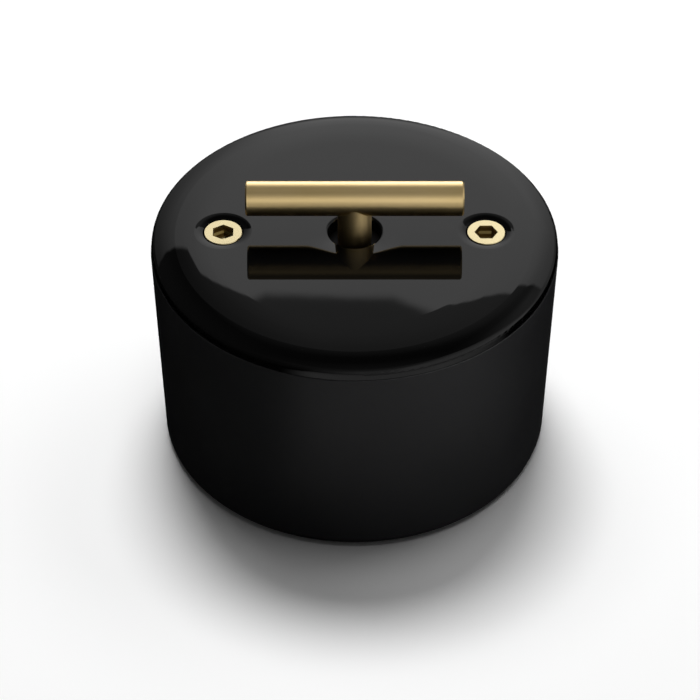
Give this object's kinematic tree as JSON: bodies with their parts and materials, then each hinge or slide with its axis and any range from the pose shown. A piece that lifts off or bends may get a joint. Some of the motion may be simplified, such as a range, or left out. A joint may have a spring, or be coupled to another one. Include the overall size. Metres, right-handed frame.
{
  "type": "surface-mounted rotary light switch with a T-bar handle",
  "caption": "Round black surface switch: tapered drum, glazed cover with rounded edge, sunk hex screws and a brass T-bar handle that turns in the middle.",
  "frame": {"origin": "middle of the wall face", "axes": "+Z away from the wall along the handle's axis of turn, +X along the T-bar and through both cover screws, +Y up the wall"},
  "size_m": [0.07, 0.07, 0.0523],
  "materials": {
    "drum": "satin black moulded phenolic",
    "glaze": "gloss black glaze on porcelain",
    "handle_brass": "fine satin, turned",
    "screw_brass": "bright, machined",
    "contact_brass": "as drawn",
    "steel": "zinc plated",
    "steatite": "unglazed",
    "nylon": "black nylon",
    "rotor_moulding": "brown phenolic"
  },
  "bodies": {
    "housing": {"housing": "drum", "top_cover": "glaze", "cover_screws": "screw_brass", "cover_bush": "nylon", "cover_inserts": "contact_brass", "mechanism_base": "steatite", "bridge": "steel", "bridge_bush": "contact_brass", "mechanism_screws": "steel", "pillar_inserts": "contact_brass", "thrust_washer": "steel", "detent_springs": "steel", "contact_springs": "contact_brass", "terminal_blocks": "contact_brass", "terminal_screws": "steel", "terminal_rivets": "contact_brass"},
    "dolly": {"dolly_bar": "handle_brass", "dolly_stem": "handle_brass", "stem_washer": "steel", "stem_circlip": "steel", "spindle": "steel", "rotor": "rotor_moulding", "rotor_contacts": "contact_brass", "detent_cam": "steel"}
  },
  "joints": [
    {"name": "dolly_turn", "type": "hinge", "parent": "housing", "child": "dolly", "pos_m": [0, 0, 0.03], "axis": [0, 0, 1], "continuous": true, "deforming": ["detent_springs"]}
  ]
}
